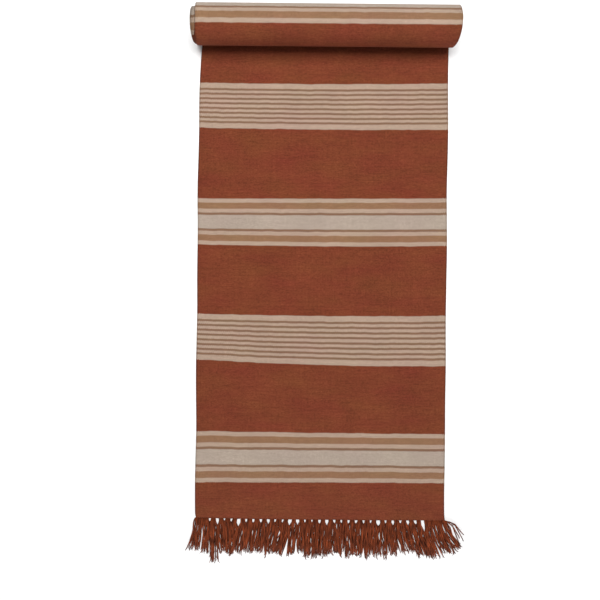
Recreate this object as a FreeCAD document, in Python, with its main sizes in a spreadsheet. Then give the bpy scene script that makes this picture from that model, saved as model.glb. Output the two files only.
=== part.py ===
"""A flat-woven cotton runner rug, lying on the floor with its far end rolled up.

The rug is a weft-faced cloth in rust, cream and tan bands, with a selvedge cord down each long edge.
Each end has a plain heading, a twined cord that locks the warps, and a row of tassels, which are the warp
ends themselves. The cloth leaves the floor, climbs the back of the roll and comes over its top. That
stretch is a run of flat strips, hinged on the cloth's upper face, so that the roll can be opened by half a
turn; from the top of the roll on, the cloth stays rolled.

Frame: millimetres, +X across the rug, +Y from the front tassels to the roll, +Z up. The origin is on the
floor under the middle of the rug as it lies, tassels included.
"""
import FreeCAD
import Part
import math
import os

# ---------------------------------------------------------------- driving dimensions
# alias, value, what it is
SIZES = [
    ("rug_width", 762.0, "woven width over both selvedges (30 in)"),
    ("rug_length", 2438.4, "woven length from edge to edge (96 in)"),
    ("cloth_thickness", 3.2, "thickness of the woven cloth"),
    ("selvedge_width", 4.0, "width of the corded edge"),
    ("selvedge_height", 3.8, "height of the corded edge"),
    ("heading_depth", 30.0, "plain heading at each end"),
    ("end_field", 84.0, "rust field between a heading and the first band"),
    ("wide_band_1", 154.0, "wide striped band nearest the front"),
    ("pin_band_1", 151.0, "pinstripe band nearest the front"),
    ("wide_band_2", 147.0, "second wide striped band"),
    ("pin_band_2", 142.0, "second pinstripe band"),
    ("wide_band_3", 147.0, "third wide striped band, which goes over the roll"),
    ("pin_band_3", 142.0, "pinstripe band inside the roll"),
    ("wide_band_4", 147.0, "wide striped band inside the roll"),
    ("field_by_roll", 190.0, "rust field between the second pinstripe band and the third wide one"),
    ("band_past_top", 23.4, "rest of the third wide band, past the last hinge at the top of the roll"),
    ("roll_radius", 58.4, "outer radius of the roll"),
    ("roll_step", 30.0, "turn of the cloth from one strip of the roll to the next, in degrees"),
    ("hinged_strips", 6.0, "flat strips that climb the back of the roll"),
    ("rolled_steps", 37.0, "steps in the whole rolled stretch"),
    ("layer_clearance", 0.5, "gap between the turns of the roll"),
    ("hinge_clearance", 0.15, "gap from a strip's end to its hinge line"),
    ("roll_drift", 7.0, "how far the turns wander sideways"),
    ("edge_cord_radius", 1.6, "radius of the twined cord at each end"),
    ("seat_gap", 0.1, "gap between the cloth's end and its twined cord"),
    ("tassel_count", 34.0, "tassels in a row"),
    ("tassel_length", 112.0, "length of a front tassel"),
    ("tassel_thickness", 4.5, "height of a front tassel as it lies"),
    ("neck_opening", 9.4, "gap between two tassels where they leave the edge"),
    ("tassel_shoulder", 15.0, "length over which a tassel spreads"),
    ("shoulder_opening", 1.9, "gap between two tassels where they are widest"),
    ("tassel_splay", 28.0, "lean of the outermost tassels, in degrees"),
    ("tassel_gap", 0.3, "gap between the twined cord and a tassel"),
    ("flip_clearance", 0.3, "height of the line that the front tassels turn about, above their top"),
    ("rolled_tassel_length", 100.0, "length of a tassel inside the roll"),
    ("rolled_tassel_thickness", 2.6, "thickness of a tassel inside the roll"),
]

doc = FreeCAD.newDocument("runner_rug")
sheet = doc.addObject("Spreadsheet::Sheet", "sizes")
for row, (alias, value, words) in enumerate(SIZES, start=1):
    sheet.set(f"A{row}", words)
    sheet.set(f"B{row}", str(value))
    sheet.setAlias(f"B{row}", alias)
doc.recompute()


def size(alias):
    """A driving dimension, read from the sheet."""
    return float(sheet.get(alias))


# ---------------------------------------------------------------- worked out from them
WIDTH = size("rug_width")
THICK = size("cloth_thickness")
CORD = size("edge_cord_radius")
STEP = math.radians(size("roll_step"))
STRIPS = int(size("hinged_strips"))
STEPS = int(size("rolled_steps"))
STEPS_PER_TURN = round(2 * math.pi / STEP)
TASSELS = int(size("tassel_count"))
TASSEL_PITCH = WIDTH / TASSELS
TASSEL_NECK = TASSEL_PITCH - size("neck_opening")

inner_radius = size("roll_radius") - THICK
layer_pitch = THICK + size("layer_clearance")
# a flat strip comes nearer to the roll's centre at its middle than at its ends, so the next turn keeps clear
strip_rise = inner_radius * (1 - math.cos(STEP / 2))


def step_radius(index):
    """Radius of the cloth's upper face over one step of the roll."""
    steps = index + 0.5
    past_strips = min(max((steps - STRIPS) / (STEPS_PER_TURN - STRIPS), 0), 1)
    return inner_radius - layer_pitch * steps / STEPS_PER_TURN - strip_rise * past_strips


def step_length(index):
    """Length of cloth in one step of the roll: straight in a hinged strip, and further on along the arc of
    the middle of its thickness."""
    if index < STRIPS:
        return 2 * math.sin(STEP / 2) * step_radius(index)
    return STEP * (step_radius(index) + THICK / 2)


rolled_length = sum(step_length(index) for index in range(STEPS))
flat_length = size("rug_length") - rolled_length

# the third wide band ends just past the last hinge, and the field before it lies partly on the floor
hinged_length = sum(step_length(index) for index in range(STRIPS))
band_3_end = hinged_length + size("band_past_top")
LAST_FIELD = size("field_by_roll") + size("wide_band_3") - band_3_end

tassel_root = 2 * CORD + size("seat_gap") + size("tassel_gap")
front_reach = tassel_root + size("tassel_length")
overall_length = front_reach + flat_length + size("roll_radius")
FRONT_EDGE = front_reach - overall_length / 2
LEAVES_FLOOR = FRONT_EDGE + flat_length

# the front tassels flip over about a line along the cloth's front edge, just above them
FLIP_LINE = (FRONT_EDGE - tassel_root + size("tassel_gap") / 2, size("tassel_thickness") + size("flip_clearance"))


def step_starts(count):
    """(y, z) of the upper face at the start of each step of the roll. Step 0 is where it leaves the floor."""
    points = [(LEAVES_FLOOR, THICK)]
    for index in range(count):
        chord = 2 * math.sin(STEP / 2) * step_radius(index)
        lean = (index + 0.5) * STEP
        y, z = points[-1]
        points.append((y + chord * math.cos(lean), z + chord * math.sin(lean)))
    return points


HINGES = step_starts(STEPS + STEPS_PER_TURN)


def roll_point(turned, outwards):
    """(y, z) on the roll after the cloth has turned that far, that much outwards from its upper face."""
    index = int(turned / STEP + 1e-9)
    radius = step_radius(index)
    start = index * STEP
    centre_y = HINGES[index][0] - radius * math.sin(start)
    centre_z = HINGES[index][1] + radius * math.cos(start)
    reach = radius + outwards
    return centre_y + reach * math.sin(turned), centre_z - reach * math.cos(turned)


def turned_at(length):
    """How far the cloth has turned at that length past the point where it leaves the floor."""
    index = 0
    while length > step_length(index):
        length -= step_length(index)
        index += 1
    return (index + length / step_length(index)) * STEP


def drift(turned):
    """Sideways shift of the cloth in the roll: out to one side over the first turn, then back past the middle."""
    turns = min(turned / (2 * math.pi), 1.5)
    return size("roll_drift") * math.cos(math.pi * (turns - 0.5))


subparts = []


def keep(thing, label):
    """Names a finished sub-part. Its label names its file."""
    thing.Label = label
    subparts.append(thing)
    return thing


def about_x(degrees):
    return FreeCAD.Rotation(FreeCAD.Vector(1, 0, 0), degrees)


def padded_sketch(label, plane_role, edges, length, reverse=False):
    """A body with one closed sketch on one of its origin planes, padded to a length given as an expression."""
    body = doc.addObject("PartDesign::Body", label + "_body")
    plane = next(f for f in body.Origin.OriginFeatures if f.Role == plane_role)
    section = body.newObject("Sketcher::SketchObject", label + "_section")
    section.AttachmentSupport = (plane, [""])
    section.MapMode = "FlatFace"
    for edge in edges:
        section.addGeometry(edge, False)
    doc.recompute()
    pad = body.newObject("PartDesign::Pad", label + "_pad")
    pad.Profile = section
    pad.setExpression("Length", length)
    pad.Reversed = reverse
    body.Tip = pad
    return body


def row_of_links(label, master, placements):
    """One node that holds a copy of the master at each placement."""
    links = []
    for number, placement in enumerate(placements, start=1):
        link = doc.addObject("App::Link", f"{label}_{number:02d}")
        link.LinkedObject = master
        link.LinkPlacement = placement
        links.append(link)
    group = doc.addObject("Part::Compound", label)
    group.Links = links
    return keep(group, label)


# ---------------------------------------------------------------- the cloth on the floor
def flat_band(label, depth, start):
    """One woven band of the flat cloth, full width between the selvedges. depth is an expression."""
    band = doc.addObject("Part::Box", label)
    band.setExpression("Length", "sizes.rug_width - 2 * sizes.selvedge_width")
    band.setExpression("Width", depth)
    band.setExpression("Height", "sizes.cloth_thickness")
    corner = size("selvedge_width") - WIDTH / 2
    band.Placement = FreeCAD.Placement(FreeCAD.Vector(corner, start, 0), FreeCAD.Rotation())
    return keep(band, label)


set_depths = ["heading_depth", "end_field", "wide_band_1", "pin_band_1", "wide_band_2", "pin_band_2"]
FIELD = (flat_length - LAST_FIELD - sum(size(alias) for alias in set_depths)) / 3
last_depth = f"sizes.field_by_roll + sizes.wide_band_3 - sizes.band_past_top - {hinged_length!r}"
field_depth = (f"(sizes.rug_length - {rolled_length!r} - sizes." + " - sizes.".join(set_depths)
               + f" - ({last_depth})) / 3")

FLAT_BANDS = [
    ("front_heading", "sizes.heading_depth", size("heading_depth")),
    ("rust_field_1", "sizes.end_field", size("end_field")),
    ("wide_stripe_band_1", "sizes.wide_band_1", size("wide_band_1")),
    ("rust_field_2", field_depth, FIELD),
    ("pinstripe_band_1", "sizes.pin_band_1", size("pin_band_1")),
    ("rust_field_3", field_depth, FIELD),
    ("wide_stripe_band_2", "sizes.wide_band_2", size("wide_band_2")),
    ("rust_field_4", field_depth, FIELD),
    ("pinstripe_band_2", "sizes.pin_band_2", size("pin_band_2")),
    ("rust_field_5", last_depth, LAST_FIELD),
]

band_start = FRONT_EDGE
for label, depth, depth_now in FLAT_BANDS:
    flat_band(label, depth, band_start)
    band_start += depth_now


# ---------------------------------------------------------------- selvedges: a cord down each long edge
def selvedge(label, side):
    """The corded edge of the flat cloth: flat against the cloth, half round outside. side is -1 or 1."""
    wide, high = size("selvedge_width"), size("selvedge_height")
    flat = side * (wide - high / 2)
    low, low_end = FreeCAD.Vector(0, 0, 0), FreeCAD.Vector(flat, 0, 0)
    top, top_end = FreeCAD.Vector(0, high, 0), FreeCAD.Vector(flat, high, 0)
    nose = FreeCAD.Vector(side * wide, high / 2, 0)
    edges = [Part.LineSegment(top, low), Part.LineSegment(low, low_end), Part.Arc(low_end, nose, top_end),
             Part.LineSegment(top_end, top)]
    body = padded_sketch(label, "XZ_Plane", edges, f"sizes.rug_length - {rolled_length!r}", reverse=True)
    corner = side * (WIDTH / 2 - wide)
    body.Placement = FreeCAD.Placement(FreeCAD.Vector(corner, FRONT_EDGE, 0), FreeCAD.Rotation())
    return keep(body, label)


selvedge("left_selvedge", -1)
selvedge("right_selvedge", 1)


# ---------------------------------------------------------------- strips that climb the back of the roll
def hinged_strip(index):
    """A flat strip of cloth from one hinge to the next, lying outside the line between them."""
    label = f"unrolling_cloth_{index + 1}"
    strip = doc.addObject("Part::Box", label)
    strip.setExpression("Length", "sizes.rug_width")
    strip.setExpression("Width", f"{step_length(index)!r} - 2 * sizes.hinge_clearance")
    strip.setExpression("Height", "sizes.cloth_thickness")
    turn = about_x(math.degrees((index + 0.5) * STEP))
    inset = turn.multVec(FreeCAD.Vector(0, size("hinge_clearance"), -THICK))
    across = drift((index + 0.5) * STEP) - WIDTH / 2
    strip.Placement = FreeCAD.Placement(FreeCAD.Vector(across, *HINGES[index]) + inset, turn)
    return keep(strip, label)


for index in range(STRIPS):
    hinged_strip(index)


# ---------------------------------------------------------------- cloth that stays rolled
def roll_vector(turned, outwards):
    return FreeCAD.Vector(*roll_point(turned, outwards), 0)


def rolled_section(start, end, thickness):
    """Edges of the closed section of a rolled band between two turned angles, one arc to a step."""
    first, last = int(start / STEP + 1e-9) + 1, math.ceil(end / STEP - 1e-9)
    stops = [start] + [index * STEP for index in range(first, last)] + [end]
    spans = [(a, b) for a, b in zip(stops, stops[1:]) if b - a > 1e-6]

    def face(outwards):
        ends = [roll_vector(spans[0][0], outwards)] + [roll_vector(b - 1e-9, outwards) for _, b in spans]
        middles = [roll_vector((a + b) / 2, outwards) for a, b in spans]
        return [Part.Arc(a, middle, b) for a, middle, b in zip(ends, middles, ends[1:])], ends[0], ends[-1]

    inner, inner_start, inner_end = face(0)
    outer, outer_start, outer_end = face(thickness)
    return inner + [Part.LineSegment(inner_end, outer_end)] + outer + [Part.LineSegment(outer_start, inner_start)]


def rolled_band(label, start, end):
    """One woven band inside the roll, between two lengths past the point where the cloth leaves the floor."""
    turned = turned_at(start), turned_at(end)
    body = padded_sketch(label, "YZ_Plane", rolled_section(*turned, THICK), "sizes.rug_width")
    across = drift(sum(turned) / 2) - WIDTH / 2
    body.Placement = FreeCAD.Placement(FreeCAD.Vector(across, 0, 0), FreeCAD.Rotation())
    return keep(body, label)


set_rolled = ["pin_band_3", "wide_band_4", "end_field", "heading_depth"]
ROLLED_FIELD = (rolled_length - band_3_end - sum(size(alias) for alias in set_rolled)) / 2

ROLLED_BANDS = [
    ("rust_field_6", ROLLED_FIELD),
    ("pinstripe_band_3", size("pin_band_3")),
    ("rust_field_7", ROLLED_FIELD),
    ("wide_stripe_band_4", size("wide_band_4")),
    ("rust_field_8", size("end_field")),
    ("back_heading", size("heading_depth")),
]

rolled_band("wide_stripe_band_3", hinged_length + size("hinge_clearance"), band_3_end)
band_start = band_3_end
for label, depth in ROLLED_BANDS:
    band_end = min(band_start + depth, rolled_length - 1e-6)
    rolled_band(label, band_start, band_end)
    band_start = band_end


# ---------------------------------------------------------------- twined cords
def edge_cord(label, across, y, z):
    """The twined cord that locks the warps at a cloth end, centred on (y, z)."""
    cord = doc.addObject("Part::Cylinder", label)
    cord.setExpression("Radius", "sizes.edge_cord_radius")
    cord.setExpression("Height", "sizes.rug_width")
    along_x = FreeCAD.Rotation(FreeCAD.Vector(0, 1, 0), 90)
    cord.Placement = FreeCAD.Placement(FreeCAD.Vector(across - WIDTH / 2, y, z), along_x)
    return keep(cord, label)


edge_cord("front_edge_cord", 0, FRONT_EDGE - size("seat_gap") - CORD, CORD)

END_TURNED = STEPS * STEP
end_radius = step_radius(STEPS)
cord_turned = END_TURNED + (size("seat_gap") + CORD) / end_radius
edge_cord("back_edge_cord", drift(END_TURNED), *roll_point(cord_turned, CORD))


# ---------------------------------------------------------------- front tassels
def tassel_outline():
    """Edges of a tassel that points along -Y from the middle of its round root and is widest at its shoulder."""
    neck, spread = TASSEL_NECK / 2, (TASSEL_PITCH - size("shoulder_opening")) / 2
    shoulder, tip = -size("tassel_shoulder"), neck - size("tassel_length")
    corners = [(neck, 0), (spread, shoulder), (neck, tip), (-neck, tip), (-spread, shoulder), (-neck, 0)]
    points = [FreeCAD.Vector(x, y, 0) for x, y in corners]
    sides = [Part.LineSegment(a, b) for a, b in zip(points, points[1:])]
    return sides + [Part.Arc(points[-1], FreeCAD.Vector(0, neck, 0), points[0])]


def front_tassel_place(index):
    """Middle ones lie straight and the last few fan outwards."""
    side = 2 * index / (TASSELS - 1) - 1
    splay = size("tassel_splay") * side ** 5
    across = (index + 0.5) * TASSEL_PITCH - WIDTH / 2
    root = FreeCAD.Vector(across, FRONT_EDGE - tassel_root - TASSEL_NECK / 2, 0)
    return FreeCAD.Placement(root, FreeCAD.Rotation(FreeCAD.Vector(0, 0, 1), splay))


front_tassel = padded_sketch("front_tassel", "XY_Plane", tassel_outline(), "sizes.tassel_thickness")
row_of_links("front_tassels", front_tassel, [front_tassel_place(index) for index in range(TASSELS)])


# ---------------------------------------------------------------- tassels inside the roll
def back_tassel_place(index):
    across = drift(END_TURNED) + (index + 0.5) * TASSEL_PITCH - WIDTH / 2 - TASSEL_NECK / 2
    return FreeCAD.Placement(FreeCAD.Vector(across, 0, 0), FreeCAD.Rotation())


back_start = END_TURNED + tassel_root / end_radius
back_end = back_start + size("rolled_tassel_length") / end_radius
back_section = rolled_section(back_start, back_end, size("rolled_tassel_thickness"))
back_tassel = padded_sketch("back_tassel", "YZ_Plane", back_section,
                            "sizes.rug_width / sizes.tassel_count - sizes.neck_opening")
row_of_links("back_tassels", back_tassel, [back_tassel_place(index) for index in range(TASSELS)])


# ---------------------------------------------------------------- build, test and write
doc.recompute()
for thing in doc.Objects:
    if "Invalid" in thing.State or "Error" in thing.State:
        raise RuntimeError(f"{thing.Name} failed: {thing.State}")
os.makedirs("parts", exist_ok=True)
for thing in subparts:
    if thing.Shape.isNull() or not thing.Shape.isValid():
        raise RuntimeError(f"{thing.Label} has no valid shape")
    thing.Shape.exportStep(os.path.join("parts", thing.Label + ".step"))

print(f"front tassels turn about y {FLIP_LINE[0]:.3f}, z {FLIP_LINE[1]:.3f}")
for number, (y, z) in enumerate(HINGES[:STRIPS + 1], start=1):
    print(f"hinge {number} of the roll: y {y:.3f}, z {z:.3f}")
print(f"flat {flat_length:.1f} mm, rolled {rolled_length:.1f} mm")
print(f"fields {FIELD:.1f} mm, by the roll {LAST_FIELD:.1f} mm, in the roll {ROLLED_FIELD:.1f} mm")
print(f"{len(subparts)} sub-parts, {sum(len(thing.Shape.Solids) for thing in subparts)} solids")
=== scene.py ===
# %% [markdown]
# # A striped runner rug, rolled up at its far end
# A runner is one long cloth. It is woven flat on a loom, band by band, and only afterwards does it lie on a
# floor and get rolled. The script follows that order. Every woven piece is first made flat in *loom*
# measures: `across` the rug, `along` it from the front edge, and `high` through its thickness. One
# function, `lay`, then carries each point to where it lies in the room. Neighbouring pieces meet exactly,
# because they share it, and the pattern keeps its place on the cloth, because it reads the loom measures
# and not the room's.

# %% Load the fixed frame
import math
import random

import bmesh
import bpy
import numpy as np
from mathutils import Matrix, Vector, noise


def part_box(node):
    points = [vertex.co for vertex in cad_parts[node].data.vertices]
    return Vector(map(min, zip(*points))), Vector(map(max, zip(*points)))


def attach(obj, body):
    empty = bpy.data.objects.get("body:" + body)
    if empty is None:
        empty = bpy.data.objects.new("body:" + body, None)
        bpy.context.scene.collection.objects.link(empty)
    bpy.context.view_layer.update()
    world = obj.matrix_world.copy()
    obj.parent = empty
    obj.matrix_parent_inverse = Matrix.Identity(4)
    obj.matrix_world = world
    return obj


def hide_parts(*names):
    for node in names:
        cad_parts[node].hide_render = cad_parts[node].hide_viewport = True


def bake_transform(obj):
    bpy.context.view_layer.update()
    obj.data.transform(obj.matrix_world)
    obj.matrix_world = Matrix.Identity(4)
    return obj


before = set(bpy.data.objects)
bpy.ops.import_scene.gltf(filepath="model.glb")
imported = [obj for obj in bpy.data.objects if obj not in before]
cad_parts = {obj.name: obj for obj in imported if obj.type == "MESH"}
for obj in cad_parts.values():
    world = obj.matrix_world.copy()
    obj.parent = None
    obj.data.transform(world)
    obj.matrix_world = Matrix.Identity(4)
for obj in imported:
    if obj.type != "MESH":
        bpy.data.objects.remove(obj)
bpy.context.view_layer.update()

# %% [markdown]
# ## Measures taken from the frame
# The frame already holds the lengths that show on the floor, so they aren't typed again. The front edge,
# the line where the cloth leaves the floor and the cloth's thickness are corners of its nodes. Real cloth
# starts to rise a little before that line, because it bends gradually, so the line is moved by a few
# millimetres.

# %% Measures of the rug
EARLY_RISE = 0.0028
front_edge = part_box("front_heading")[0].y
leaves_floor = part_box("rust_field_5")[1].y - EARLY_RISE
cloth_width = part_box("front_edge_cord")[1].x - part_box("front_edge_cord")[0].x
cloth_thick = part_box("rust_field_1")[1].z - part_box("rust_field_1")[0].z
flat_length = leaves_floor - front_edge
selvedge_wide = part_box("right_selvedge")[1].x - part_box("right_selvedge")[0].x
roll_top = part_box("unrolling_cloth_6")[1].z
print(f"flat {flat_length:.3f} m, {cloth_width:.3f} m wide, {cloth_thick * 1000:.1f} mm thick")

# %% [markdown]
# ## The line of the roll
# Seen from the side, the rolled cloth is a spiral whose radius shrinks by one thickness and a little air
# each turn. It could be drawn as a curve object, but a table is more useful here: it lists, for each half
# degree that the cloth has turned, where its inner face is and how much cloth has been used. Looking a
# length up in that table is how a flat point finds its place in the roll. The first half turn is a little
# rounder than the straight strips of the frame. From the top of the roll on it closes in faster, so that
# the next turn clears them.

# %% Table of the spiral
# the roll is 37 steps of 30 degrees long, and the table goes on past it for the tassels inside
ROLL_TURNS = 37 * 30 / 360
EXTRA_TURNS = 0.75
TABLE_STEP = math.radians(0.5)
HINGE_STEP = math.radians(30)
OUTER_RADIUS = 0.0548
AIR_BETWEEN = 0.0005
LAYER_PITCH = cloth_thick + AIR_BETWEEN
CLOSES_IN = 0.0015

turned = np.arange(0, (ROLL_TURNS + EXTRA_TURNS) * 2 * math.pi, TABLE_STEP)
past_top = np.clip((turned - math.pi) / math.pi, 0, 1)
inner = OUTER_RADIUS - LAYER_PITCH * turned / (2 * math.pi) - CLOSES_IN * past_top
step = np.diff(turned, prepend=0)
spiral_y = leaves_floor + np.cumsum(inner * np.cos(turned) * step)
spiral_z = cloth_thick + np.cumsum(inner * np.sin(turned) * step)
used_cloth = np.cumsum((inner + cloth_thick / 2) * step)
rolled_length = float(np.interp(ROLL_TURNS * 2 * math.pi, turned, used_cloth))
print(f"rolled {rolled_length:.3f} m, top at {spiral_z.max() + cloth_thick:.4f} m")
print(f"the frame's top is at {roll_top:.4f} m")

# %% [markdown]
# ## How handwoven cloth lies
# No handwoven rug is a true rectangle. The weft is beaten in by hand, so a band runs a few millimetres out
# of square or bows in the middle. The edges draw in where the weft was tight, and the cloth ripples
# slightly on the floor. These small errors matter: without them the rug looks printed. They could be
# modelled by hand, but a few smooth functions of the loom measures do it, and every piece shares them.

# %% Skew and bow
# at each of these distances along the rug: how far the weft is shifted, how much farther it lies at the
# right edge than at the left, and how far it bows in the middle
BEATEN_AT = [0.0, 0.114, 0.268, 0.478, 0.629, 0.839, 0.986, 1.196, 1.338, 1.45]
SHIFT = [0.0065, 0.0018, 0.0002, 0.0041, -0.0003, 0.0017, -0.0022, 0.0010, -0.0020, 0.0]
SKEW = [-0.0011, 0.0042, -0.0028, -0.0147, 0.0002, 0.0025, 0.0065, 0.0007, 0.0044, 0.0]
BOW = [0.0018, -0.0004, 0.0005, 0.0068, 0.0042, 0.0028, 0.0010, 0.0032, 0.0031, 0.0]
WEFT_WANDER = 0.0007
WEFT_SETTLES = 0.12


def ripple(across, along, scale, seed):
    """Smooth noise between about -1 and 1."""
    return noise.noise(Vector((across * scale, along * scale, seed))) * 1.6


def near_roll(along, reach):
    """1 on the open floor, falling to 0 over the last stretch before the roll."""
    return min(max((flat_length - along) / reach, 0), 1)


def beaten(across, along):
    """How far the weft lies from its true line, along the rug."""
    side = 2 * across / cloth_width
    skew = np.interp(along, BEATEN_AT, SKEW) * side / 2
    bow = np.interp(along, BEATEN_AT, BOW) * (side * side - 1)
    wander = WEFT_WANDER * ripple(across, along * 0.4, 11, 3.0) * near_roll(along, WEFT_SETTLES)
    return np.interp(along, BEATEN_AT, SHIFT) + skew + bow + wander


print("most out of square:", round(1000 * max(abs(value) for value in SKEW), 1), "mm")

# %% [markdown]
# The edges wander too, because the weft turns back tighter in one place than in another, and the two front
# corners are pulled out of line. Last come the ripples, which lift the cloth about a millimetre off the
# floor.

# %% Edges and ripples
EDGE_WANDER = 0.0014
LEFT_CORNER_IN = 0.0030
RIGHT_CORNER_OUT = 0.0020
CORNER_REACH = 0.006
RIPPLE_HEIGHT = 0.0011
RIPPLE_SETTLES = 0.15


def drawn_in(across, along):
    """How far the cloth lies to the right of its true place, at its edges and its front corners."""
    side = 2 * across / cloth_width
    edge = 1 if across > 0 else -1
    at_edge = side ** 6 * edge * EDGE_WANDER * ripple(edge * 3.1, along, 5.5, 8.0)
    corner = LEFT_CORNER_IN * min(side, 0) ** 7 - RIGHT_CORNER_OUT * max(side, 0) ** 7
    return at_edge - corner * math.exp(-max(along, 0) / CORNER_REACH)


def lifted(across, along):
    """How far the cloth stands off the floor."""
    wave = 0.5 + 0.5 * ripple(across * 0.55, along, 7, 5.0)
    return RIPPLE_HEIGHT * max(wave, 0) * near_roll(along, RIPPLE_SETTLES)


print("ripples are scaled to", 1000 * RIPPLE_HEIGHT, "mm")

# %% [markdown]
# ## From the loom to the room
# `lay` takes one flat point to its place. On the floor that is almost nothing: a shift, and the small
# errors above. Past the line where the cloth leaves the floor, the length is looked up in the spiral table,
# and the height through the cloth becomes a distance from the roll's centre. Each turn also drifts
# sideways, which is why the ends of a hand-rolled rug look like a shallow cone, and why an inner turn peeps
# out at the left.

# %% Lay a point of the cloth
# how far the cloth lies to the right after each number of turns
DRIFT_AT = [0.0, 0.5, 0.6, 0.7, 0.78, 0.9, 1.2,
            1.6, 1.7, 1.77, 1.9, 2.05, 2.45, 2.8]
DRIFT = [0.0, 0.0085, 0.0072, 0.0050, 0.0012, 0.0005, 0.0050,
         0.0060, -0.0015, -0.0050, -0.0035, 0.0005, -0.0075, -0.0085]
GATHERED = 0.0120
GATHER_REACH = 0.09
ROLL_WOBBLE = 0.0009


def drift(angle):
    """How far the cloth has drifted sideways where it has turned this far."""
    return np.interp(angle / (2 * math.pi), DRIFT_AT, DRIFT)


def gathered(across, along):
    """How far the left edge is drawn in where the cloth goes under the roll."""
    from_roll = flat_length - along if along < flat_length else 2 * (along - flat_length)
    return GATHERED * max(-2 * across / cloth_width, 0) ** 5 * math.exp(-from_roll / GATHER_REACH)


def lay(across, along, high):
    """Room position of a point of the cloth: high runs from the face on the floor to the face on top."""
    if along <= flat_length:
        x = across + drawn_in(across, along) + gathered(across, along)
        y = front_edge + along + beaten(across, max(along, 0))
        z = cloth_thick / 2 + high + lifted(across, along)
        return Vector((x, y, z))
    length = along - flat_length
    angle = float(np.interp(length, used_cloth, turned))
    out = cloth_thick / 2 - high
    y = float(np.interp(length, used_cloth, spiral_y)) + out * math.sin(angle)
    z = float(np.interp(length, used_cloth, spiral_z)) - out * math.cos(angle)
    at_edge = (2 * across / cloth_width) ** 6
    wobble = ROLL_WOBBLE * ripple(math.copysign(2, across), angle, 0.9, 1.0) * at_edge
    return Vector((across + gathered(across, along) + drift(angle) + wobble, y, z))


print("front edge lies at", [round(v, 4) for v in lay(0, 0, 0)])

# %% [markdown]
# ## The order of the weave
# The pattern is a list of bands from the front edge to the far end. Their depths on the floor come from the
# frame. In the roll a node's box no longer shows its depth, so the depths are typed there, and the two
# fields without one share the cloth that is left. The list says where each woven piece starts and stops,
# and the weave's material reads the same numbers.

# %% Bands along the cloth
FLAT_BANDS = ["front_heading", "rust_field_1", "wide_stripe_band_1", "rust_field_2", "pinstripe_band_1",
              "rust_field_3", "wide_stripe_band_2", "rust_field_4", "pinstripe_band_2", "rust_field_5"]
bands = {}
for name in FLAT_BANDS:
    low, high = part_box(name)
    bands[name] = (low.y - front_edge, high.y - front_edge)

ROLLED_BANDS = [("wide_stripe_band_3", 0.1388), ("rust_field_6", None), ("pinstripe_band_3", 0.142),
                ("rust_field_7", None), ("wide_stripe_band_4", 0.147), ("rust_field_8", 0.084),
                ("back_heading", 0.030)]

cloth_end = flat_length + rolled_length
# the rust that climbs the roll before the third wide band
CLIMB_FIELD = 0.0575
band_start = flat_length + CLIMB_FIELD
known = sum(depth for _, depth in ROLLED_BANDS if depth)
hidden_field = (cloth_end - band_start - known) / 2
for name, depth in ROLLED_BANDS:
    bands[name] = (band_start, band_start + (depth or hidden_field))
    band_start = bands[name][1]
print("the cloth ends at", round(band_start, 3), "m")

# %% [markdown]
# ## A piece of woven cloth
# A woven piece is a slab: a grid of quads, given a thickness. A long edge that is free is rounded with a
# bevel, as the weft rounds over the outermost warp. Both are done with bmesh, which edits a mesh that isn't
# in the scene yet, so nothing depends on what is selected.

# %% A new object, and a rounded edge
ROUNDING = 0.42
ROUNDING_STEPS = 3


def finish_mesh(bm, name):
    """A new object that holds the finished mesh."""
    mesh = bpy.data.meshes.new(name)
    bm.to_mesh(mesh)
    bm.free()
    piece = bpy.data.objects.new(name, mesh)
    bpy.context.scene.collection.objects.link(piece)
    return piece


def round_long_edge(bm, side):
    """Rounds the long edges of a flat slab at this distance across."""
    rim = [edge for edge in bm.edges if all(abs(vert.co.x - side) < 1e-6 for vert in edge.verts)
           and abs(edge.verts[0].co.y - edge.verts[1].co.y) > 1e-6]
    bmesh.ops.bevel(bm, geom=rim, offset=cloth_thick * ROUNDING, offset_type="OFFSET",
                    segments=ROUNDING_STEPS, profile=0.5, affect="EDGES", material=-1)


print("a free edge is rounded by", round(1000 * cloth_thick * ROUNDING, 1), "mm")

# %% [markdown]
# The grid is made at its true size in loom measures and solidified, and its loom measures are stored in a
# UV map before anything is bent, so the pattern never stretches. Only then is each point laid in the room.
# Edges that turn sharply are marked sharp, so that two pieces that meet side by side shade as one cloth.

# %% Weave a slab
UV_NAME = "loom"
SHARP = math.radians(50)


def woven_slab(name, sides, ends, cell, rounded=()):
    """A slab of cloth between two loom positions across and two along, laid in the room.

    cell is the size of a quad each way, and rounded lists the sides that are free edges."""
    (left, right), (start, end) = sides, ends
    bm = bmesh.new()
    columns = max(2, round((right - left) / cell[0]))
    rows = max(2, round((end - start) / cell[1]))
    bmesh.ops.create_grid(bm, x_segments=columns, y_segments=rows, size=0.5)
    bmesh.ops.scale(bm, vec=(right - left, end - start, 1), verts=bm.verts)
    bmesh.ops.translate(bm, vec=((left + right) / 2, (start + end) / 2, 0), verts=bm.verts)
    bmesh.ops.solidify(bm, geom=bm.faces[:], thickness=cloth_thick)
    middle = sum(v.co.z for v in bm.verts) / len(bm.verts)
    bmesh.ops.translate(bm, vec=(0, 0, -middle), verts=bm.verts)
    for side in rounded:
        round_long_edge(bm, side)
    bmesh.ops.recalc_face_normals(bm, faces=bm.faces[:])
    loom = bm.loops.layers.uv.new(UV_NAME)
    for face in bm.faces:
        face.smooth = True
        for loop in face.loops:
            loop[loom].uv = loop.vert.co.xy
    for edge in bm.edges:
        if len(edge.link_faces) == 2 and edge.calc_face_angle(0) > SHARP:
            edge.smooth = False
    for vert in bm.verts:
        vert.co = lay(*vert.co)
    return finish_mesh(bm, name)


print("a slab's edges are sharp past", round(math.degrees(SHARP)), "degrees")

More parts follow.
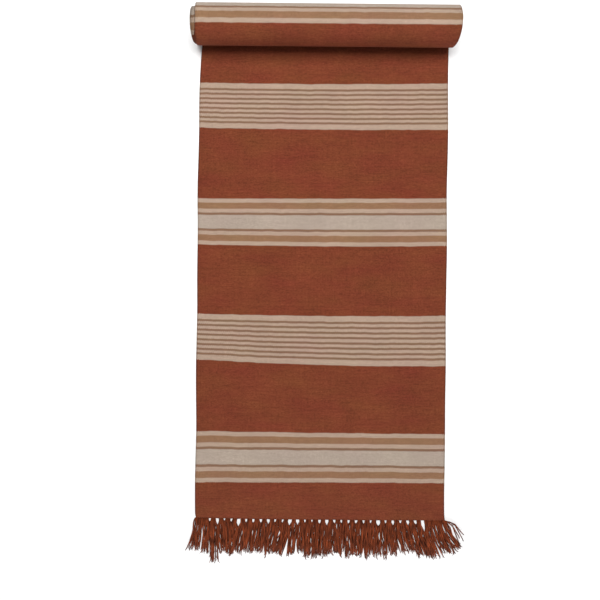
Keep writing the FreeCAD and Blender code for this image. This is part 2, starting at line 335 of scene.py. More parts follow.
# %% [markdown]
# ## The weave as a material
# A weft-faced cloth shows only its weft: fine rows of yarn that pass over one warp and under the next, so
# each float is a small oval and the ovals lie like bricks. The stripes are changes of weft colour, the
# streaks are uneven dye and uneven handspun yarn, and the ribs are the warps underneath. All of it is
# procedural. The helpers below make a node, set or link its inputs, and give back its output, so that a
# formula reads as one.

# %% Small helpers for material nodes
def add_node(tree, kind, inputs, **settings):
    """A node with its inputs set or linked. Gives its first output."""
    made = tree.nodes.new(kind)
    for key, value in settings.items():
        setattr(made, key, value)
    for key, value in inputs.items():
        if isinstance(value, bpy.types.NodeSocket):
            tree.links.new(value, made.inputs[key])
        else:
            made.inputs[key].default_value = value
    return made.outputs[0]


def maths(tree, operation, first, second=0.0):
    """One step of arithmetic."""
    return add_node(tree, "ShaderNodeMath", {0: first, 1: second}, operation=operation)


def remap(tree, value, low, high, to_low, to_high):
    """A value between low and high, moved to the same place between two others."""
    made = {"Value": value, "From Min": low, "From Max": high, "To Min": to_low, "To Max": to_high}
    return add_node(tree, "ShaderNodeMapRange", made)


def stretched_noise(tree, across, along, scale_across, scale_along, detail=2.0):
    """Noise between 0 and 1 in loom measures, stretched along the weft or the warp."""
    spot = add_node(tree, "ShaderNodeCombineXYZ", {0: maths(tree, "MULTIPLY", across, scale_across),
                                                   1: maths(tree, "MULTIPLY", along, scale_along)})
    return add_node(tree, "ShaderNodeTexNoise", {"Vector": spot, "Scale": 1.0, "Detail": detail})


def linear(red, green, blue):
    """Scene colour of a colour as it is seen on a screen, from 0 to 255."""
    def one(value):
        value /= 255
        return value / 12.92 if value <= 0.04045 else ((value + 0.055) / 1.055) ** 2.4
    return one(red), one(green), one(blue), 1.0


def new_material(name, roughness, sheen):
    """A new material, its nodes and its shader."""
    made = bpy.data.materials.new(name)
    made.use_nodes = True
    shader = made.node_tree.nodes["Principled BSDF"]
    shader.inputs["Roughness"].default_value = roughness
    shader.inputs["Specular IOR Level"].default_value = 0.06
    shader.inputs["Sheen Weight"].default_value = sheen
    shader.inputs["Sheen Roughness"].default_value = 0.6
    return made, made.node_tree, shader


def split_up(tree, position):
    """The first two numbers of a position."""
    made = tree.nodes.new("ShaderNodeSeparateXYZ")
    tree.links.new(position, made.inputs[0])
    return made.outputs[0], made.outputs[1]


print("rust as the scene sees it:", [round(part, 3) for part in linear(118, 59, 38)[:3]])

# %% [markdown]
# ## Stripes
# Each striped band is symmetrical, so its stripes need only half a list: how far from the middle each
# stripe ends, and its colour. The last distance stands for half a band, so the others are shares of it, and
# a colour ramp with sharp steps holds them all.

# %% Weft colours and stripe plans
RUST = linear(118, 59, 38)
CREAM = linear(173, 149, 131)
PALE = linear(170, 154, 140)
TAN = linear(142, 106, 80)
THIN_TAN = linear(130, 99, 79)

# each stripe: (distance from the middle where it ends, colour)
WIDE_PLAN = [(20.5, PALE), (27.4, THIN_TAN), (39.2, CREAM), (57.2, TAN), (69.7, CREAM)]
PIN_PLAN = [(4.0, CREAM), (10.5, THIN_TAN), (18.5, CREAM), (25.0, THIN_TAN), (33.0, CREAM),
            (39.5, THIN_TAN), (47.5, CREAM), (54.0, THIN_TAN), (70.0, CREAM)]


def stripe_ramp(tree, position, plan):
    """Colour for a position folded about the band's middle, from 0 in the middle to 0.5 at its edge."""
    made = tree.nodes.new("ShaderNodeValToRGB")
    tree.links.new(position, made.inputs[0])
    ramp = made.color_ramp
    ramp.interpolation = "CONSTANT"
    ramp.elements.remove(ramp.elements[1])
    ramp.elements[0].position = 0.0
    ramp.elements[0].color = plan[0][1]
    half_band = plan[-1][0]
    for (stop, _), (_, colour) in zip(plan, plan[1:]):
        ramp.elements.new(0.5 * stop / half_band).color = colour
    # the very edge of the fold is the ground between the bands
    ramp.elements.new(0.4999).color = RUST
    return made.outputs[0]


print("stripes in half a band:", len(WIDE_PLAN), "wide ones or", len(PIN_PLAN), "pinstripes")

# %% [markdown]
# To know where in a band a point is, every band adds a value that climbs from 0 to 1 across it. Between
# bands the sum is a whole number, and its fraction is 0, which is where the rust field shows. A real change
# of weft is not ruler-straight either. It steps from warp to warp and wanders as the beater did, so the
# distance along the rug is moved a little before the bands read it.

# %% Where a band lies
IN_BAND = 1e-5
WANDERS = 0.0042
STEPS = 0.0017
TOOTHED = 0.0010
TOOTH_PITCH = 0.0064


def wandering(tree, across, along):
    """The distance along the rug, moved a little as a change of weft does."""
    wander = maths(tree, "SUBTRACT", stretched_noise(tree, across, along, 34, 9, 1.0), 0.5)
    steps = maths(tree, "SUBTRACT", stretched_noise(tree, across, along, 310, 120, 1.0), 0.5)
    tooth = maths(tree, "SINE", maths(tree, "MULTIPLY", across, 2 * math.pi / TOOTH_PITCH))
    moved = along
    for shape, reach in ((wander, WANDERS), (steps, STEPS), (tooth, TOOTHED)):
        moved = maths(tree, "ADD", moved, maths(tree, "MULTIPLY", shape, reach))
    return moved


def band_position(tree, along, kind):
    """Fraction of the way through a band of this kind, and 0 between bands."""
    total = None
    for name, (start, end) in bands.items():
        if name.startswith(kind):
            climb = remap(tree, along, start, end, 0.0, 1.0)
            total = climb if total is None else maths(tree, "ADD", total, climb)
    return maths(tree, "FRACT", total)


def folded(tree, position):
    """A position in a band, folded about its middle."""
    return maths(tree, "ABSOLUTE", maths(tree, "SUBTRACT", position, 0.5))


def weft_colour(tree, wide, pin):
    """Colour of a wide-striped band, of a pinstriped band, or of the ground."""
    mix = tree.nodes.new("ShaderNodeMix")
    mix.data_type = "RGBA"
    tree.links.new(maths(tree, "GREATER_THAN", pin, IN_BAND), mix.inputs["Factor"])
    tree.links.new(stripe_ramp(tree, folded(tree, wide), WIDE_PLAN), mix.inputs["A"])
    tree.links.new(stripe_ramp(tree, folded(tree, pin), PIN_PLAN), mix.inputs["B"])
    return mix.outputs["Result"]


print("a change of weft strays by up to", round(1000 * (WANDERS / 2 + STEPS / 2 + TOOTHED), 1), "mm")

# %% [markdown]
# The weave itself is a height. A float is a half sine across one warp and across one pick, and every second
# row is shifted by half a warp. The same height paints shade between the floats, and a little painted light
# onto their tops, so that the cloth still looks woven where the light is flat. Handspun yarn and hand
# dyeing are never even, and the eye reads that as cotton, so the brightness is a product of several
# noises, from broad blotches down to single slubs.

# %% Floats and unevenness
WARP_PITCH = 0.0028
PICK_PITCH = 0.0012
# each kind: scale across and along, detail, the range of its noise, and how dark and how light it gets
UNEVEN = {
    "streaks": (26, 200, 3.0, 0.25, 0.75, 0.87, 1.13),
    "patches": (90, 150, 2.0, 0.25, 0.75, 0.88, 1.12),
    "lots": (2.5, 75, 2.0, 0.25, 0.75, 0.95, 1.05),
    "blotches": (9, 9, 3.0, 0.2, 0.8, 0.88, 1.12),
    "slubs": (190, 330, 2.0, 0.25, 0.75, 0.76, 1.24),
    "grain": (230, 5, 1.0, 0.25, 0.75, 0.96, 1.04),
}
# the undyed yarns of the bands are spun finer, so they vary less
BAND_VARIES = 0.5


def float_height(tree, across, along):
    """Height of the weave, from 0 between the floats to 1 on top of one."""
    row = maths(tree, "DIVIDE", along, PICK_PITCH)
    shift = maths(tree, "MULTIPLY", maths(tree, "FLOORED_MODULO", maths(tree, "FLOOR", row), 2.0), 0.5)
    warp = maths(tree, "ADD", maths(tree, "DIVIDE", across, WARP_PITCH), shift)
    over = maths(tree, "ABSOLUTE", maths(tree, "SINE", maths(tree, "MULTIPLY", warp, math.pi)))
    pick = maths(tree, "SINE", maths(tree, "MULTIPLY", maths(tree, "FRACT", row), math.pi))
    return maths(tree, "MULTIPLY", over, pick)


def unevenness(tree, across, along, in_band):
    """Brightness of the weft, and the noise of its slubs, which the relief needs too."""
    noises, value = {}, None
    for kind, (scale_across, scale_along, detail, low, high, dark, light) in UNEVEN.items():
        noises[kind] = stretched_noise(tree, across, along, scale_across, scale_along, detail)
        shade = remap(tree, noises[kind], low, high, dark, light)
        value = shade if value is None else maths(tree, "MULTIPLY", value, shade)
    strength = remap(tree, in_band, 0.0, 1.0, 1.0, BAND_VARIES)
    value = maths(tree, "ADD", maths(tree, "MULTIPLY", maths(tree, "SUBTRACT", value, 1.0), strength), 1.0)
    return value, noises["slubs"]


print(len(UNEVEN), "kinds of unevenness:", ", ".join(UNEVEN))

# %% [markdown]
# Some shades belong to places on the rug. The outermost warps are paired, which leaves a darker line just
# inside each edge, and the edge itself turns away from the light. The heading ends in one tighter pick. In
# the roll, the ends of the inner turns that stand out are darker towards their rims. Here and there a pale
# fibre is caught in the weft. Each of these is a brightness that multiplies the rest.

# %% Edges, heading, rims and lint
# how much of the rolled cloth lies outside the turns that stand out
INNER_TURNS = 0.54
# each shade: where it is darkest, where it ends, and how dark it gets
EDGE_LINE = (0.0, 0.0016, 0.72)
EDGE_ITSELF = (0.0004, 0.0022, 0.42)
INNER_RIM = (0.004, 0.019, 0.62)
HEADING_PICK = (0.0, 0.0014, 0.84)


def fading(tree, distance, shade):
    """A dark line that fades out with the distance from it."""
    darkest, ends, dark = shade
    return remap(tree, distance, darkest, ends, dark, 1.0)


def place_shades(tree, across, along, moved):
    """Brightness for each place on the rug that is darker or lighter than the rest."""
    from_edge = maths(tree, "SUBTRACT", cloth_width / 2, maths(tree, "ABSOLUTE", across))
    from_line = maths(tree, "ABSOLUTE", maths(tree, "SUBTRACT", from_edge, selvedge_wide))
    inner_turn = maths(tree, "GREATER_THAN", along, flat_length + INNER_TURNS)
    rim = maths(tree, "SUBTRACT", 1.0, fading(tree, from_edge, INNER_RIM))
    from_heading = maths(tree, "ABSOLUTE", maths(tree, "SUBTRACT", moved, bands["front_heading"][1]))
    lint = stretched_noise(tree, across, along, 240, 330, 0.0)
    return [fading(tree, from_line, EDGE_LINE),
            fading(tree, from_edge, EDGE_ITSELF),
            maths(tree, "SUBTRACT", 1.0, maths(tree, "MULTIPLY", rim, inner_turn)),
            fading(tree, from_heading, HEADING_PICK),
            remap(tree, lint, 0.78, 0.86, 1.0, 1.5)]


print("inner turns start", round(flat_length + INNER_TURNS, 3), "m along the cloth")

# %% [markdown]
# Now the parts are put together. The stripes give the colour, the dye lets its hue lean a little one way or
# the other, and the brightness is everything above multiplied. Floats and slubs also raise the surface,
# which a bump does well enough, because they are finer than a millimetre.

# %% Woven cloth
COTTON_ROUGH = 0.95
COTTON_SHEEN = 0.03
SLUB_RELIEF = 0.8


def make_cloth():
    """The material of every woven piece."""
    made, tree, shader = new_material("woven_cotton", COTTON_ROUGH, COTTON_SHEEN)
    across, along = split_up(tree, add_node(tree, "ShaderNodeUVMap", {}, uv_map=UV_NAME))
    moved = wandering(tree, across, along)
    wide, pin = band_position(tree, moved, "wide_stripe"), band_position(tree, moved, "pinstripe")
    in_band = maths(tree, "GREATER_THAN", maths(tree, "ADD", wide, pin), IN_BAND)
    height = float_height(tree, across, along)
    value, slubs = unevenness(tree, across, along, in_band)
    # painted shade between the floats, and a little painted light on top of them
    painted_float_shade = remap(tree, height, 0.0, 0.8, 0.78, 1.08)
    for shade in [painted_float_shade] + place_shades(tree, across, along, moved):
        value = maths(tree, "MULTIPLY", value, shade)
    hue = remap(tree, stretched_noise(tree, across, along, 6, 16, 2.0), 0.2, 0.8, 0.492, 0.508)
    colour = weft_colour(tree, wide, pin)
    tuned = add_node(tree, "ShaderNodeHueSaturation", {"Hue": hue, "Value": value, "Color": colour})
    tree.links.new(tuned, shader.inputs["Base Color"])
    relief = maths(tree, "ADD", height, maths(tree, "MULTIPLY", slubs, SLUB_RELIEF))
    bump = add_node(tree, "ShaderNodeBump", {"Strength": 0.55, "Distance": 0.0006, "Height": relief})
    tree.links.new(bump, shader.inputs["Normal"])
    return made


cloth_material = make_cloth()
print("cloth material:", len(cloth_material.node_tree.nodes), "nodes")

# %% [markdown]
# ## The cloth on the floor
# Each band is its own run of weft and gets its own slab. Cells of about a centimetre are fine enough for
# the ripples. The bands stop at the selvedges, which are pieces of their own.

# %% Bands on the floor
HALF_WIDTH = cloth_width / 2
FLAT_CELL = (0.0105, 0.008)
# the hinged stretch starts half a strip before the first hinge line
HALF_STRIP = 0.0143
FIRST_BEND = flat_length - HALF_STRIP


def dress(piece, body, nodes=()):
    """Gives a woven piece its body and material, and hides the nodes of the frame that it stands for."""
    piece.data.materials.append(cloth_material)
    if body:
        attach(piece, body)
    if nodes:
        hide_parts(*nodes)


for name in FLAT_BANDS:
    start, end = bands[name]
    if name == FLAT_BANDS[-1]:
        end = FIRST_BEND
    side = HALF_WIDTH - selvedge_wide
    piece = woven_slab("woven_" + name, (-side, side), (start, end), FLAT_CELL)
    dress(piece, "flat_cloth", [name])
print(len(FLAT_BANDS), "bands on the floor")

# %% [markdown]
# ## Selvedges
# At each long edge the weft turns back round a bundle of warps, which makes a thin firm cord. A swept tube
# would be a cord too, but it wouldn't meet the bands. So it is the same slab, 4 mm wide, with finer cells
# and its outer edges rounded.

# %% Selvedges on the floor
SELVEDGE_CELL = (0.0012, 0.008)


def selvedge(name, side):
    """The selvedge at the left, where side is -1, or at the right, where it is 1."""
    sides = sorted((side * (HALF_WIDTH - selvedge_wide), side * HALF_WIDTH))
    piece = woven_slab("corded_" + name, sides, (0, FIRST_BEND), SELVEDGE_CELL, rounded=[side * HALF_WIDTH])
    dress(piece, "flat_cloth", [name])
    print(name, "runs", round(FIRST_BEND, 3), "m")


selvedge("left_selvedge", -1)
selvedge("right_selvedge", 1)

# %% [markdown]
# ## The cloth that climbs the roll
# Seven hinge lines open the outer half of the roll. Real cloth has no hinges, so each strip is centred on a
# hinge line and reaches halfway to the next one. At rest they form one round surface. The last of them runs
# on to the end of its wide striped band, just past the top of the roll.

# %% Strips over the hinge lines
BENT_CELL = (0.0105, 0.0022)
WHOLE_WIDTH = (-HALF_WIDTH, HALF_WIDTH)
chain = ["flat_cloth"] + [f"strip_{number}" for number in range(1, 7)] + ["roll_core"]


def length_at(angle):
    """Length along the cloth where it has turned this far."""
    return flat_length + float(np.interp(angle, turned, used_cloth)) if angle > 0 else FIRST_BEND


for number, (before, after) in enumerate(zip(chain, chain[1:])):
    start, end = length_at((number - 0.5) * HINGE_STEP), length_at((number + 0.5) * HINGE_STEP)
    name, node, stop = f"climbing_cloth_{number + 1}", f"unrolling_cloth_{number + 1}", end
    if after == "roll_core":
        name, node, stop = "rolled_wide_stripe_band_3", "wide_stripe_band_3", bands["wide_stripe_band_3"][1]
    piece = woven_slab(name, WHOLE_WIDTH, (start, stop), BENT_CELL, rounded=WHOLE_WIDTH)
    dress(piece, None, [node])
    # the strip's two ends, both taken on the same line along the middle of the rug
    begins, ends = lay(0, start, 0), lay(0, end, 0)
    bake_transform(piece)
print(len(chain) - 1, "strips over the hinge lines")

# %% [markdown]
# ## The cloth that stays rolled
# Past the top of the roll the bands follow each other inwards for more than two turns. They are the same
# slabs with finer cells along the cloth, because they curve.

# %% Bands inside the roll
ROLLED_CELL = (0.016, 0.003)

for name, _ in ROLLED_BANDS[1:]:
    start, end = bands[name]
    piece = woven_slab("rolled_" + name, WHOLE_WIDTH, (start, end), ROLLED_CELL, rounded=WHOLE_WIDTH)
    dress(piece, "roll_core", [name])
print(len(ROLLED_BANDS) - 1, "more bands in the roll")

# %% [markdown]
# ## Yarn
# The fringe and the edge cords are plied cotton: two strands twisted round each other. The twist is a
# slanting stripe that reads the yarn's own UV map, in both the colour and the bump; in the colour it is
# painted shade in the grooves where the plies meet. Light hardly reaches the yarns deep in a tassel. That
# could be left to the renderer, but the yarns lie so close that it would hardly show, so each point also
# stores how far it is from the middle of the fringe's thickness, and the material darkens by it.

# %% Yarn material
YARN_UV = "UVMap"
DEPTH_NAME = "off_middle"
FRINGE_MIDDLE = 0.0022
EVEN_DEPTH = 0.0017
FRINGE_TWISTS = 14.0
CORD_TWISTS = 150.0


def make_yarn(name, colour, twists):
    """The material of plied yarn. twists is how many times it winds round from one end to the other."""
    made, tree, shader = new_material(name, COTTON_ROUGH, COTTON_SHEEN)
    down, round_yarn = split_up(tree, add_node(tree, "ShaderNodeUVMap", {}, uv_map=YARN_UV))
    slant = maths(tree, "ADD", maths(tree, "MULTIPLY", down, twists), round_yarn)
    ply = maths(tree, "ABSOLUTE", maths(tree, "SINE", maths(tree, "MULTIPLY", slant, 2 * math.pi)))
    spot = add_node(tree, "ShaderNodeTexCoord", {}).node.outputs["Object"]
    tone = stretched_noise(tree, *split_up(tree, spot), 210, 34, 2.0)
    broad = add_node(tree, "ShaderNodeTexNoise", {"Vector": spot, "Scale": 40.0, "Detail": 2.0})
    off_middle = add_node(tree, "ShaderNodeAttribute", {}, attribute_name=DEPTH_NAME).node.outputs["Fac"]
    # painted shade in the grooves where the plies meet, and a little painted light on their crests
    value = remap(tree, ply, 0.0, 0.8, 0.55, 1.15)
    for shade in (remap(tree, tone, 0.3, 0.7, 0.42, 1.5),
                  remap(tree, broad, 0.3, 0.7, 0.85, 1.15),
                  remap(tree, off_middle, -0.0010, 0.0034, 0.35, 1.42)):
        value = maths(tree, "MULTIPLY", value, shade)
    tuned = add_node(tree, "ShaderNodeHueSaturation", {"Value": value, "Color": colour})
    tree.links.new(tuned, shader.inputs["Base Color"])
    bump = add_node(tree, "ShaderNodeBump", {"Strength": 0.7, "Distance": 0.0008, "Height": ply})
    tree.links.new(bump, shader.inputs["Normal"])
    return made


fringe_material = make_yarn("fringe_yarn", linear(105, 47, 23), FRINGE_TWISTS)
cord_material = make_yarn("twined_cord", linear(117, 58, 38), CORD_TWISTS)
print("yarn materials:", fringe_material.name, "and", cord_material.name)

# %% [markdown]
# One yarn is a curve with a round section, which is the natural way to make anything long and thin.
# Hundreds of yarns share one curve object, so each has only a few dozen faces. The curve is turned into a
# mesh at the end.

# %% Yarns as one object
def as_curve(name, strands):
    """One curve object of many yarns. Each strand is (points, radii)."""
    curve = bpy.data.curves.new(name, "CURVE")
    curve.dimensions = "3D"
    curve.bevel_depth = 1.0
    curve.bevel_resolution = 1
    curve.resolution_u = 1
    curve.use_fill_caps = True
    for points, radii in strands:
        spline = curve.splines.new("NURBS")
        spline.points.add(len(points) - 1)
        for spot, point, radius in zip(spline.points, points, radii):
            spot.co = (*point, 1)
            spot.radius = radius
        spline.order_u = 3
        spline.use_endpoint_u = True
        spline.use_smooth = True
    line = bpy.data.objects.new(name, curve)
    bpy.context.scene.collection.objects.link(line)
    bpy.context.view_layer.update()
    return line


def as_mesh(line):
    """The curve as a closed mesh. The curve itself goes."""
    curve = line.data
    mesh = bpy.data.meshes.new_from_object(line.evaluated_get(bpy.context.evaluated_depsgraph_get()))
    bpy.data.objects.remove(line)
    bpy.data.curves.remove(curve)
    bm = bmesh.new()
    bm.from_mesh(mesh)
    bmesh.ops.remove_doubles(bm, verts=bm.verts[:], dist=1e-6)
    bmesh.ops.recalc_face_normals(bm, faces=bm.faces[:])
    bm.to_mesh(mesh)
    bm.free()
    return mesh


def yarn_object(name, strands, material, on_floor=False):
    """One piece of many yarns. Only on the floor does a yarn's height say how deep it lies."""
    mesh = as_mesh(as_curve(name + "_line", strands))
    mesh.name = name
    piece = bpy.data.objects.new(name, mesh)
    bpy.context.scene.collection.objects.link(piece)
    mesh.materials.clear()
    mesh.materials.append(material)
    depths = [abs(vert.co.z - FRINGE_MIDDLE) if on_floor else EVEN_DEPTH for vert in mesh.vertices]
    mesh.attributes.new(DEPTH_NAME, "FLOAT", "POINT").data.foreach_set("value", depths)
    print(name, len(strands), "strands,", len(mesh.polygons), "faces")
    return piece


# %% [markdown]
# ## Front tassels
# The warps leave the cloth in bunches, one for each tassel. A bunch is pinched where it leaves the edge,
# which leaves a small hole between neighbours. Then its yarns spread, meet the next tassel and draw
# together again towards the tip. No two lie alike. The lean and length of each tassel come from a list,
# because that is what gives this fringe its look: the first leans out, a run of them is combed to the left,
# and the last ones fan out to the right. Everything finer is random, but from a fixed seed.

# %% Lean and length of each tassel
TASSELS = 34
pitch = cloth_width / TASSELS
# for each tassel: how far its tip lies to the right of its root, and how long it is, in millimetres
TASSEL_LEAN = [-17, -7, 0, 4, 1, -8, -14, -15, -14, -15, -14, -13, -20, -9, 2, 0, -3,
               -6, -6, -5, 0, 1, 0, 2, 4, 7, 14, 19, 24, 30, 33, 30, 37, 48]
TASSEL_REACH = [90, 99, 119, 96, 99, 96, 94, 93, 95, 94, 98, 94, 96, 101, 94, 105, 102,
                106, 101, 99, 101, 98, 100, 102, 99, 104, 97, 90, 88, 103, 107, 104, 92, 85]
# how wide the hole on the left of each tassel is, and how far down it closes, in millimetres
HOLE_WIDE = [0, 0, 11, 13, 9, 10, 13, 10, 11, 11, 13, 10, 9, 15, 13, 10, 10,
             12, 13, 11, 10, 12, 12, 11, 10, 16, 9, 11, 12, 12, 11, 14, 0, 0, 0]
HOLE_DEEP = [5, 5, 16, 26, 12, 16, 34, 15, 20, 17, 22, 16, 13, 26, 20, 15, 14,
             20, 23, 16, 14, 20, 17, 16, 14, 28, 13, 22, 17, 19, 20, 60, 5, 5, 5]
dice = random.Random(11)
print("longest tassel", max(TASSEL_REACH), "mm")

# %% [markdown]
# A bunch flares a little where it is tied to the cord, is narrow just below, opens until it meets the next
# tassel, and draws in again towards its tip. Two small functions say how wide it lies at each part of the
# way down. They could be one curve drawn by hand, but each tassel opens at a place of its own.

# %% How a tassel opens
OVERLAP = 0.0022
FLARE = 0.0017
OPENS_FROM = 0.3
TAPERS_FROM = 0.35


def opening(down, closes):
    """How far a bunch has opened this far down: 0 in the narrow neck, 1 where it meets the next tassel."""
    share = min(max(down / closes - OPENS_FROM, 0) / (1 - OPENS_FROM), 1)
    return share * share * (3 - 2 * share)


def bunch_width(part, down, neck, closes, tip_width):
    """Half the width of the tassel at this part of the way down."""
    belly = pitch / 2 + OVERLAP
    taper = 1 - (1 - tip_width) * max(part - TAPERS_FROM, 0) / (1 - TAPERS_FROM)
    flare = FLARE * max(1 - down / (0.4 * closes), 0)
    return (neck + (belly - neck) * opening(down, closes)) * taper + flare


print("neighbouring tassels overlap by up to", round(2000 * OVERLAP, 1), "mm")

# %% [markdown]
# The yarns of a tassel cling together in six clumps of three, and the middle yarn of each clump rides on
# the other two. The yarns start just outside the twined cord, inside a neck that leaves the hole free. The
# last few tassels fan out more than the others.

# %% Yarns and clumps
YARN_RADIUS = 0.0017
CLUMPS = 6
# the parts of the way down at which a yarn has a point
PARTS = (0.0, 0.045, 0.10, 0.17, 0.27, 0.40, 0.54, 0.70, 0.85, 1.0)
YARN_RADII = [YARN_RADIUS * 0.85] + [YARN_RADIUS] * 8 + [YARN_RADIUS * 0.75]
ROOT_OUT = 0.0026
NECK_IN = 0.0012
FANNED = 3
FAN, CORNER_FAN = 0.001, 0.008
LEAN_SPREAD = (0.0022, 0.0085, 0.0022)
CLUMP_WAVE = 0.0022
YARN_WAVE = 0.0011
FULL_TURN = 6.3
# how far apart the yarns of a clump lie in the neck, and how much farther when it has opened
SPREAD, SPREADS_MORE = 0.0010, 0.0009
# how far the middle yarn rides on the others at its root, how much more farther down, and how that varies
RIDES, RIDES_MORE, RIDE_VARIES = 0.0003, 0.0008, 0.0007
FLOOR_GAP = 0.0001
print("yarns in a tassel:", 3 * CLUMPS)

# %% [markdown]
# Each yarn could be combed by hand as a curve, but there are hundreds, so one function places them all. It
# takes the clump's place in the width above, and adds a lean, a long wave that the clump shares and a
# shorter one of the yarn's own.


# %% Yarns of one tassel
def tassel_yarns(index):
    """Points and radii of each yarn of a front tassel."""
    centre = (index + 0.5) * pitch - HALF_WIDTH
    tip_width = dice.uniform(0.36, 0.94)
    yarns = []
    for clump in range(CLUMPS):
        share = (clump + 0.5) / CLUMPS * 2 - 1 + dice.gauss(0, 0.06)
        side = index + (share > 0)
        neck = pitch / 2 - HOLE_WIDE[side] / 2000 - NECK_IN
        closes = HOLE_DEEP[side] / 1000 * dice.uniform(0.8, 1.2)
        fan = share * (FAN if index < TASSELS - FANNED else CORNER_FAN)
        leans = [TASSEL_LEAN[index] / 1000 + fan + dice.gauss(0, spread) for spread in LEAN_SPREAD]
        reach = TASSEL_REACH[index] / 1000 * (1 + dice.gauss(0, 0.05))
        wave, phase = dice.gauss(0, CLUMP_WAVE), dice.uniform(0, FULL_TURN)
        raised = RIDE_VARIES * (1 + math.sin(phase))
        root = lay(centre + share * neck, 0, 0) - Vector((centre + share * neck, ROOT_OUT, 0))
        for strand, lean in zip((-1, 0, 1), leans):
            own, far = dice.gauss(0, YARN_WAVE), reach * (1 + dice.gauss(0, 0.035))
            twist = dice.uniform(0, FULL_TURN)
            points = []
            for part in PARTS:
                down = far * part
                width = bunch_width(part, down, neck, closes, tip_width)
                spread = strand * (SPREAD + SPREADS_MORE * opening(down, closes))
                bend = lean * (0.55 * part + 0.45 * part * part)
                waves = wave * math.sin(phase + part * 7) + own * math.sin(twist + part * 11)
                sway = waves * min(part * 4, 1)
                high = YARN_RADIUS + FLOOR_GAP
                if strand == 0:
                    high += RIDES + (RIDES_MORE + raised) * min(part / 0.15, 1)
                x = centre + share * width + spread + bend + sway + root.x
                points.append(Vector((x, root.y - down, high)))
            yarns.append((points, YARN_RADII))
    return yarns


strands = []
for index in range(TASSELS):
    strands += tassel_yarns(index)
print(TASSELS, "tassels,", len(strands), "yarns")

# %% [markdown]
# At the right-hand corner a few warps have slipped out of their bunch. They bow out past the edge of the
# rug before they turn down, so they get points of their own, and each is a copy a little wider or flatter.

# %% Stray yarns at the right-hand corner
# millimetres to the right of the corner, and out from the edge
STRAY = [(0, 0), (13, 4), (29, 9), (40, 22), (47, 42), (58, 58)]
STRAY_SIZES = [(1.0, 1.0), (0.82, 1.15), (1.06, 0.70), (0.70, 1.32), (0.93, 0.85)]
STRAY_RADII = [YARN_RADIUS * 0.9] * 5 + [YARN_RADIUS * 0.7]
STRAY_STEP = 0.002

corner = lay(HALF_WIDTH, 0, 0)
for number, (wide, long) in enumerate(STRAY_SIZES):
    stray = []
    for right, out in STRAY:
        x = corner.x - STRAY_STEP - STRAY_STEP * number + right * wide / 1000
        y = corner.y - ROOT_OUT - out * long / 1000
        stray.append(Vector((x, y, YARN_RADIUS * (1.1 + 0.3 * number))))
    strands.append((stray, STRAY_RADII))
print(len(STRAY_SIZES), "stray yarns")

# %% [markdown]
# A cut yarn doesn't end cleanly. Its plies come apart, so each yarn ends in two finer hairs that leave it
# at small angles. Then all of them become one object, because they are one fringe.

# %% Frayed ends
HAIRS = 2
HAIR_RADII = [0.0010, 0.0008, 0.0004]


def frayed(placed):
    """Thin hairs at the end of a yarn."""
    tip, ahead = placed[-1], (placed[-1] - placed[-2]).normalized()
    hairs = []
    for _ in range(HAIRS):
        turn = dice.gauss(0, 0.4)
        aside = Vector((-ahead.y, ahead.x, 0)) * math.sin(turn)
        size = dice.uniform(0.003, 0.008)
        first = tip + (ahead + aside * 0.5) * size * 0.5
        last = tip + (ahead + aside) * size
        hairs.append(([tip - ahead * 0.002, first, last], HAIR_RADII))
    return hairs


for placed, _ in strands[:]:
    strands += frayed(placed)
front_tassels = yarn_object("fringe_front", strands, fringe_material, on_floor=True)
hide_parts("front_tassels")
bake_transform(front_tassels)

# %% [markdown]
# ## Tassels inside the roll
# The far end of the rug has the same fringe, but it lies in the hollow of the roll and shows only from the
# side. It follows the spiral on past the end of the cloth, so `lay` places it too.

# %% Back tassels
BACK_YARNS = 8
BACK_REACH = 0.100
BACK_PARTS = 12
BACK_ROOT = 0.0034
BACK_RADII = [YARN_RADIUS] * BACK_PARTS + [YARN_RADIUS * 0.7]


def back_yarn(index, number):
    """Points and radii of one yarn of a back tassel."""
    share = (number + 0.5) / BACK_YARNS * 2 - 1
    centre = (index + 0.5) * pitch - HALF_WIDTH
    reach = BACK_REACH * (1 + dice.gauss(0, 0.05))
    high = -0.0004 + dice.uniform(0, 0.0012)
    sway = dice.gauss(0, 0.0012)
    points = []
    for part in range(BACK_PARTS + 1):
        part /= BACK_PARTS
        across = centre + share * (pitch * 0.5 - 0.0035) + sway * math.sin(part * 4)
        points.append(lay(across, cloth_end + BACK_ROOT + reach * part, high))
    return points, BACK_RADII


back = [back_yarn(index, number) for index in range(TASSELS) for number in range(BACK_YARNS)]
back_tassels = yarn_object("fringe_back", back, fringe_material)
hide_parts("back_tassels")
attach(back_tassels, "roll_core")

# %% [markdown]
# ## Edge cords
# Before the first pick, and after the last, two cords are twined across the warps to lock them. Each is a
# pair of strands that wind round each other, a helix with its partner half a turn behind.

# %% Twined cords
TWINE_PITCH = 0.0085
TWINE_RADIUS = 0.00078
STRAND_RADIUS = 0.00085
TURN_STEPS = 8
CORD_OUT = 0.0017


def twined(name, node, body, along):
    """A pair of strands wound round each other, across the rug at this distance along it."""
    steps = int(cloth_width / TWINE_PITCH * TURN_STEPS)
    pair = []
    for half in (0, math.pi):
        points = []
        for number in range(steps + 1):
            across = cloth_width * (number / steps - 0.5)
            angle = number / TURN_STEPS * 2 * math.pi + half
            out, high = TWINE_RADIUS * math.cos(angle), TWINE_RADIUS * math.sin(angle)
            points.append(lay(across, along + out, high))
        pair.append((points, [STRAND_RADIUS] * (steps + 1)))
    piece = yarn_object(name, pair, cord_material)
    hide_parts(node)
    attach(piece, body)


twined("twined_front_cord", "front_edge_cord", "flat_cloth", -CORD_OUT)
twined("twined_back_cord", "back_edge_cord", "roll_core", cloth_end + CORD_OUT)

# %% [markdown]
# ## Floor, light and camera
# The rug lies on a plain pale floor that fades into the room. It lies a hair below the cloth's underside,
# so that the two faces never share a place.

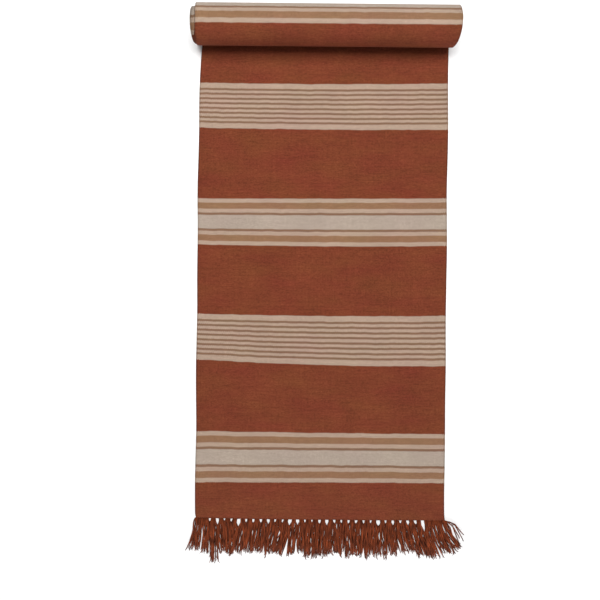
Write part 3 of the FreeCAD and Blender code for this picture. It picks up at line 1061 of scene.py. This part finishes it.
# %% Floor
FLOOR_HALF = 12
FLOOR_HEIGHT = -0.0002

floor_mesh = bmesh.new()
bmesh.ops.create_grid(floor_mesh, x_segments=1, y_segments=1, size=FLOOR_HALF)
bmesh.ops.translate(floor_mesh, vec=(0, 0, FLOOR_HEIGHT), verts=floor_mesh.verts)
floor = finish_mesh(floor_mesh, "floor")
floor_material, _, floor_shader = new_material("pale_floor", 0.9, 0.0)
floor_shader.inputs["Base Color"].default_value = (0.98, 0.98, 0.98, 1)
floor.data.materials.append(floor_material)
print("floor", 2 * FLOOR_HALF, "m wide")

# %% [markdown]
# A studio lights such a rug with large, soft sources, so that the weave shows but no hard shadow falls.
# Here the broad light hangs a little beyond the roll, so the side of the roll that faces the fringe falls
# into its own shade. A low light in front of the fringe softens that shade, and the room gives the rest.

# %% Light
ROOM_LIGHT = 0.19

world = bpy.context.scene.world or bpy.data.worlds.new("room")
bpy.context.scene.world = world
world.use_nodes = True
world.node_tree.nodes["Background"].inputs["Color"].default_value = (1, 1, 1, 1)
world.node_tree.nodes["Background"].inputs["Strength"].default_value = ROOM_LIGHT


def softbox(name, place, aim, size, power):
    """A rectangular light that looks at a point."""
    light = bpy.data.lights.new(name, "AREA")
    light.shape = "RECTANGLE"
    light.size, light.size_y = size
    light.energy = power
    lamp = bpy.data.objects.new(name, light)
    lamp.location = place
    lamp.rotation_euler = (Vector(aim) - Vector(place)).to_track_quat("-Z", "Y").to_euler()
    bpy.context.scene.collection.objects.link(lamp)
    print(name, power, "W")


softbox("overhead", place=(0.0, 1.2, 3.2), aim=(0, 0.1, 0), size=(3.2, 2.2), power=149)
softbox("front fill", place=(0.0, -3.4, 0.7), aim=(0, 0.77, 0.05), size=(4.0, 0.7), power=92)

# %% [markdown]
# The rug is seen from straight above. A wide lens that hangs 1.5 m over the floor shows the roll's face as
# well as its top, and the whole rug still fits. The camera is turned by half a degree, as the rug lies.

# %% Camera
lens = bpy.data.cameras.new("above")
lens.lens = 29.4
lens.sensor_width = 36
camera = bpy.data.objects.new("above", lens)
camera.location = (-0.066, -0.040, 1.5)
camera.rotation_euler = (0, 0, math.radians(0.55))
bpy.context.scene.collection.objects.link(camera)
bpy.context.scene.camera = camera
bpy.context.scene.view_settings.view_transform = "Standard"
print("camera", camera.location.z, "m up, lens", round(lens.lens, 1), "mm")
